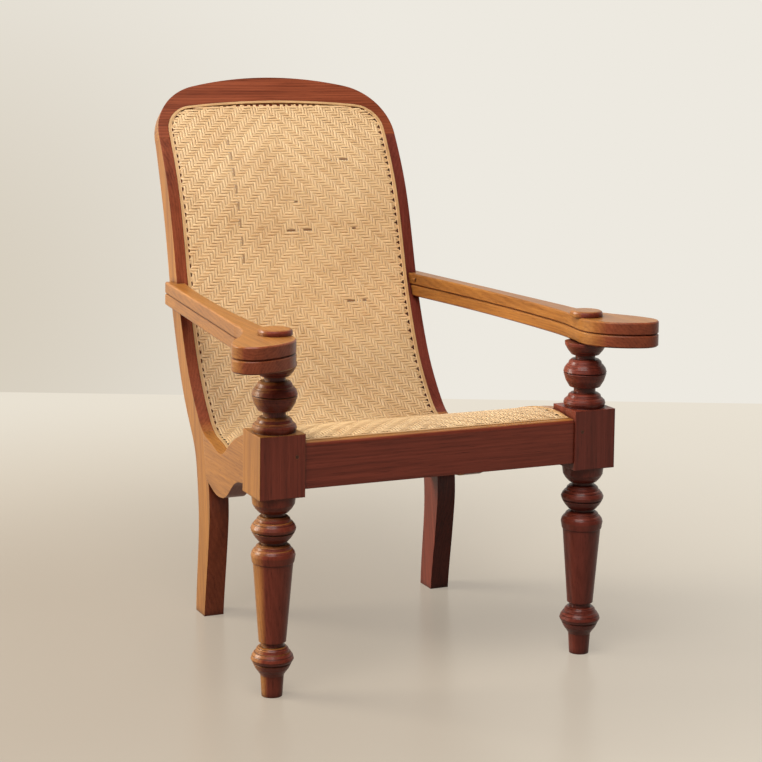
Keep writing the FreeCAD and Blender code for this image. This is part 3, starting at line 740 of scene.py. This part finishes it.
def join_strands(name, strands, material):
    """One piece from many strands, with a UV map of (across the strand, length along it) in metres.

    The map moves on by a step from strand to strand, and an attribute holds how brown each place is, from
    wear and painted shade."""
    points, quads, triangles, marks, wear_and_shade_values, offset = [], [], [], [], [], 0
    for number, (centres, ups, sides, breadths, wear_and_shade) in enumerate(strands):
        spots, body, ends = strand_mesh(centres, ups, sides, breadths)
        points.append(spots)
        quads.append(body + offset)
        triangles.append(ends + offset)
        length = np.concatenate([[0.0], np.cumsum(np.linalg.norm(np.diff(centres, axis=0), axis=1))])
        across = (SECTION_SHARES * STRAND_WIDTH)[None, :] + number * MAP_STEP[0]
        mark = np.stack(np.broadcast_arrays(across, length[:, None] + number * MAP_STEP[1]), -1)
        marks.append(mark.reshape(-1, 2))
        wear_and_shade_values.append(np.repeat(wear_and_shade, SECTION))
        offset += len(spots)
    faces = (np.concatenate(quads), np.concatenate(triangles))
    piece = mesh_piece(name, np.concatenate(points), faces, material)
    layer = piece.data.uv_layers.new(name="strand")
    corners = np.empty(len(piece.data.loops), np.int32)
    piece.data.loops.foreach_get("vertex_index", corners)
    layer.data.foreach_set("uv", np.concatenate(marks)[corners].astype(np.float32).ravel())
    # How brown each place is: wear and painted shade
    layer = piece.data.attributes.new("wear_and_shade", "FLOAT", "POINT")
    layer.data.foreach_set("value", np.concatenate(wear_and_shade_values).astype(np.float32))
    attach(piece, "chair")
    return piece


def lace_groups(count, random):
    """The middle of the group of two or three strands that each of count strands is laced in."""
    middles = np.empty(count)
    first = 0
    while first < count:
        size = int(random.integers(2, 4))
        middles[first:first + size] = (2 * first + min(size, count - first) - 1) / 2.0
        first += size
    return middles


def lay(kind, at, to_end, off_group, worn, random):
    """How far aside a strand lies at places along it, its breadths there, and how firmly it is laced.

    The lacing eases in towards the end: it draws the strand to the middle of its group, off_group pitches
    away, and thins it. A sine makes it waver, and where it is worn it is thinner and lies a little aside."""
    laced = ease((kind.start - to_end) / kind.run)
    drawn = off_group * STRAND_PITCH * kind.draw * laced
    wave = WAVER * np.sin(at * kind.waver + random.uniform(0.0, FULL_TURN))
    aside = drawn + wave + random.normal(0.0, SCATTER) + WORN_SHIFT * worn
    breadths = STRAND_WIDTH * random.uniform(THINNEST, 1.0) * (1.0 - kind.thins * laced)
    return aside, breadths * (1.0 - WORN_THINS * worn), laced


def long_strands(sling, random):
    """Strands from the front edge to the crest, laced in small groups at the top."""
    reach = int((sling.halves.max() + abs(CHEVRON_AT)) / STRAND_PITCH)
    columns = np.arange(-reach, reach + 1)
    middles = lace_groups(len(columns), random) - reach
    made = []
    for column, middle in zip(columns, middles):
        across = CHEVRON_AT + column * STRAND_PITCH
        end = sling.end_at(abs(across) + LACE_REACH - END_GAP) - END_GAP
        cells = np.arange(1, int(end / STRAND_PITCH)) * STRAND_PITCH
        if len(cells) < FEWEST_CROSSINGS:
            continue
        at, lift = strand_steps(0.0, end, cells, over(column, np.arange(1, len(cells) + 1)))
        worn = np.zeros(len(at))
        if abs(across - WORN_COLUMN[0]) < STRAND_PITCH / 2:
            below = sling.length - at
            worn = ((below > WORN_COLUMN[1]) & (below < WORN_COLUMN[2])).astype(float)
        aside, breadths, laced = lay(LONG, at, end - at, middle - column, worn, random)
        made.append(strand(sling, across + aside, at, lift - LONG.dip * laced, breadths, LONG.brown * worn))
    return made


def cross_strands(sling, random):
    """Strands from side to side, drawn together in small groups where the edge lacing holds them."""
    rows = np.arange(1, int(sling.length / STRAND_PITCH))
    middles = lace_groups(len(rows), random) + 1
    made = []
    for row, middle in zip(rows, middles):
        along = row * STRAND_PITCH
        half = float(sling.width_at(along))
        reach = int((half + abs(CHEVRON_AT)) / STRAND_PITCH)
        columns = np.arange(-reach, reach + 1)
        at, lift = strand_steps(-half, half, CHEVRON_AT + columns * STRAND_PITCH, 1.0 - over(columns, row))
        below = sling.length - along
        worn = np.zeros(len(at))
        for depth, left, right in WORN_ROWS:
            if abs(below - depth) < STRAND_PITCH / 2:
                worn = np.maximum(worn, ((at > left) & (at < right)).astype(float))
        aside, breadths, laced = lay(CROSS, at, half - np.abs(at), middle - row, worn, random)
        path = np.minimum(along + aside, sling.length)
        made.append(strand(sling, at, path, lift - CROSS.dip * laced, breadths, CROSS.brown * worn))
    return made


def edge_strands(sling):
    """The strand that closes the lacing along each side, inside the reed."""
    at = np.linspace(EDGE_START, sling.end_at(EDGE_END_ACROSS), EDGE_STEPS)
    inside = sling.width_at(at) - EDGE_STRAND / 2
    every = np.ones(len(at))
    return [strand(sling, side * inside, at, every * STRAND_RISE, every * EDGE_STRAND, every * 0.0)
            for side in (-1.0, 1.0)]


def weave(sling):
    """The whole woven sling, in pieces that stand for the CAD panel."""
    random = np.random.default_rng(SEED)
    light = cane_material("cane_long", LONG_CANE)
    # Painted shade: the cross strands take the slightly darker cane
    shade = cane_material("cane_cross", CROSS_CANE)
    for name, strands, material in (("long_strands", long_strands(sling, random), light),
                                    ("cross_strands", cross_strands(sling, random), shade)):
        for number, part in enumerate(np.array_split(np.arange(len(strands)), PIECES_A_KIND)):
            join_strands(f"{name}_{number + 1}", [strands[index] for index in part], material)
    join_strands("edge_strands", edge_strands(sling), light)
    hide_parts("cane_sling")


# Studio


def paint_group():
    """Paint that runs smoothly from Near, From metres round a Centre, to Far, To metres round it."""
    group, ins, outs = new_group(
        "fading_paint", (("Centre", "Vector", None), ("From", "Float", 0.0), ("To", "Float", 1.0),
                         ("Near", "Color", WHITE), ("Far", "Color", WHITE)), (("Color", "Color"),))
    place = node(group, "ShaderNodeTexCoord").outputs["Object"]
    away = vector_maths(group, "DISTANCE", place, ins["Centre"])
    put(group, outs["Color"],
        mix(group, eased(group, away, ins["From"], ins["To"]), ins["Near"], ins["Far"]))
    return group


PAINT = paint_group()


def backdrop_material(name, near, far, centre, run, direct, bounce, roughness, wall=False):
    """A pale surface off the object, painted from near to far, in display values, over a run from a centre.

    direct is the share of its colour that is seen unlit near the chair, and all of it is farther off. The
    rest takes light and shadow. What it throws back on the chair is the grey bounce. A wall can be looked
    through from behind."""
    material, tree, shader = new_material(name)
    colour = node(tree, "ShaderNodeGroup", node_tree=PAINT, Centre=centre, From=run[0], To=run[1],
                  Near=srgb(*near), Far=srgb(*far)).outputs["Color"]
    path = node(tree, "ShaderNodeLightPath").outputs
    seen = maths(tree, "MAXIMUM", path["Is Camera Ray"], path["Is Transmission Ray"])
    seen = maths(tree, "MAXIMUM", seen, path["Is Glossy Ray"])
    put_all(tree, shader, Base_Color=mix(tree, seen, bounce, colour), Roughness=roughness,
            Specular_IOR_Level=0.5)
    place = node(tree, "ShaderNodeTexCoord").outputs["Object"]
    unlit = eased(tree, vector_maths(tree, "LENGTH", place), *UNLIT_RUN, low=direct)
    glow = node(tree, "ShaderNodeEmission", Color=colour)
    surface = blend_shaders(tree, times(tree, seen, unlit), shader, glow)
    if wall:
        behind = node(tree, "ShaderNodeNewGeometry").outputs["Backfacing"]
        surface = blend_shaders(tree, behind, surface, node(tree, "ShaderNodeBsdfTransparent"))
    put(tree, tree.nodes["Material Output"].inputs["Surface"], surface.outputs[0])
    return material


def studio():
    """A pale floor and wall with painted shade round the chair and low on the wall, a soft key and a softbox
    overhead, both from the camera's left.
    """
    # Painted shadow: the floor's near colour, darker round the chair, stands for its soft shadow
    floor_paint = backdrop_material(
        "pale_floor", near=(184, 171, 155), far=(233, 225, 210), centre=(-0.7, 0.0, 0.0), run=(0.3, 2.4),
        direct=0.6, bounce=(0.12, 0.085, 0.08, 1.0), roughness=0.24)
    # Painted shade: the wall is darker round a low point behind the chair
    wall_paint = backdrop_material(
        "pale_wall", near=(214, 205, 189), far=(237, 233, 224), centre=(-0.3, 2.5, 0.2), run=(0.0, 1.7),
        direct=1.0, bounce=(0.3, 0.27, 0.26, 1.0), roughness=0.9, wall=True)
    square = [(-REACH, -REACH, 0.0), (REACH, -REACH, 0.0), (REACH, REACH, 0.0), (-REACH, REACH, 0.0)]
    floor = mesh_piece("floor", square, [[(0, 1, 2, 3)]], floor_paint, smooth=False)
    level = np.array((math.cos(WALL_TURN), -math.sin(WALL_TURN)))
    left, right = np.array(WALL_PLACE) - level * REACH, np.array(WALL_PLACE) + level * REACH
    upright = [(*left, 0.0), (*right, 0.0), (*right, WALL_HEIGHT), (*left, WALL_HEIGHT)]
    wall = mesh_piece("wall", upright, [[(0, 1, 2, 3)]], wall_paint, smooth=False)
    for name, place, aim, size, power, tint in LIGHTS:
        light = bpy.data.lights.new(name, "AREA")
        light.shape = "RECTANGLE"
        light.size, light.size_y = size
        light.energy = power
        light.color = tint
        lamp = bpy.data.objects.new(name, light)
        lamp.location = place
        lamp.rotation_euler = (Vector(aim) - Vector(place)).to_track_quat("-Z", "Y").to_euler()
        bpy.context.scene.collection.objects.link(lamp)
    world = bpy.data.worlds.new("even_sky")
    bpy.context.scene.world = world
    world.use_nodes = True
    put_all(world.node_tree, world.node_tree.nodes["Background"], Color=SKY_COLOUR, Strength=SKY)
    bpy.context.scene.view_settings.view_transform = "Standard"


def camera():
    """The photograph's camera, with the shift that its framing needs."""
    forward = Vector((math.sin(YAW) * math.cos(PITCH), math.cos(YAW) * math.cos(PITCH), math.sin(PITCH)))
    level = Vector((math.cos(YAW), -math.sin(YAW), 0.0))
    up = level.cross(forward)
    right = level * math.cos(ROLL) + up * math.sin(ROLL)
    up = up * math.cos(ROLL) - level * math.sin(ROLL)
    made = bpy.data.cameras.new("camera")
    made.sensor_width = SENSOR
    made.lens = LENS
    made.shift_x = (IMAGE / 2 - AXIS_PIXEL[0]) / IMAGE
    made.shift_y = (AXIS_PIXEL[1] - IMAGE / 2) / IMAGE
    made.clip_end = FARTHEST_SEEN
    holder = bpy.data.objects.new("camera", made)
    turn = Matrix((right, up, -forward)).transposed().to_4x4()
    holder.matrix_world = Matrix.Translation(CAMERA_PLACE) @ turn
    bpy.context.scene.collection.objects.link(holder)
    bpy.context.scene.camera = holder


dress_wood()
dress_reed()
weave(Sling())
studio()
camera()
